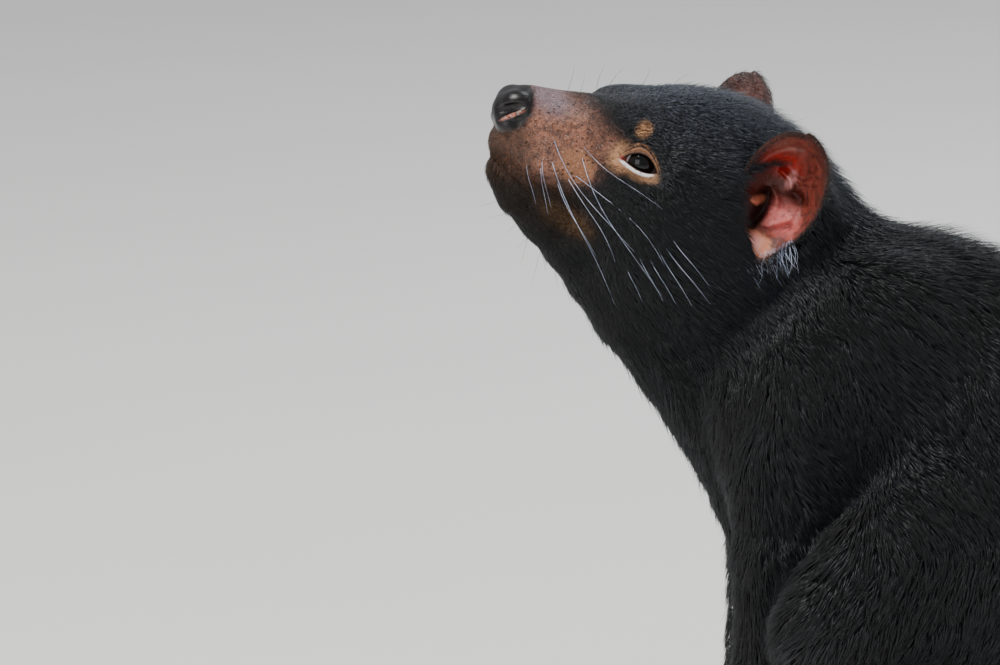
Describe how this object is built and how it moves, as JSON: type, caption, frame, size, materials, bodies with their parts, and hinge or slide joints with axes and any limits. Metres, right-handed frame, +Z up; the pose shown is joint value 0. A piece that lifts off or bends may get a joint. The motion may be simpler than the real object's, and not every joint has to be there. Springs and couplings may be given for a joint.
{
  "type": "tasmanian devil",
  "caption": "Life-size Tasmanian devil in a sitting pose with its muzzle raised, black coat, bare nose and pink cupped ears.",
  "frame": {"origin": "middle of the footprint of the whole animal, on the floor it sits on", "axes": "-X forward towards the nose, +X back along the body to the tail, +Y to the animal's right, +Z up"},
  "size_m": [0.5506, 0.2282, 0.3444],
  "materials": {
    "body_fur": "dense short black fur with a faint blue-grey sheen",
    "face_fur": "short black fur, thinning to brown-pink skin on the muzzle",
    "paw_fur": "very short black fur over dark skin",
    "nose_skin": "moist black skin",
    "ear_skin": "thin pink-red skin, black fur on the back",
    "eyeball": "glossy dark brown",
    "claw_horn": "satin horn"
  },
  "bodies": {
    "root": {"head": "face_fur", "neck": "body_fur", "torso": "body_fur", "tail": "body_fur", "nose": "nose_skin", "ear_left": "ear_skin", "eye_left": "eyeball", "foreleg_left": "body_fur", "forepaw_left": "paw_fur", "hindleg_left": "body_fur", "hindfoot_left": "paw_fur", "fore_claw_left_1": "claw_horn", "fore_claw_left_2": "claw_horn", "fore_claw_left_3": "claw_horn", "fore_claw_left_4": "claw_horn", "fore_claw_left_5": "claw_horn", "hind_claw_left_1": "claw_horn", "hind_claw_left_2": "claw_horn", "hind_claw_left_3": "claw_horn", "hind_claw_left_4": "claw_horn", "ear_right": "ear_skin", "eye_right": "eyeball", "foreleg_right": "body_fur", "forepaw_right": "paw_fur", "hindleg_right": "body_fur", "hindfoot_right": "paw_fur", "fore_claw_right_1": "claw_horn", "fore_claw_right_2": "claw_horn", "fore_claw_right_3": "claw_horn", "fore_claw_right_4": "claw_horn", "fore_claw_right_5": "claw_horn", "hind_claw_right_1": "claw_horn", "hind_claw_right_2": "claw_horn", "hind_claw_right_3": "claw_horn", "hind_claw_right_4": "claw_horn"}
  },
  "joints": []
}
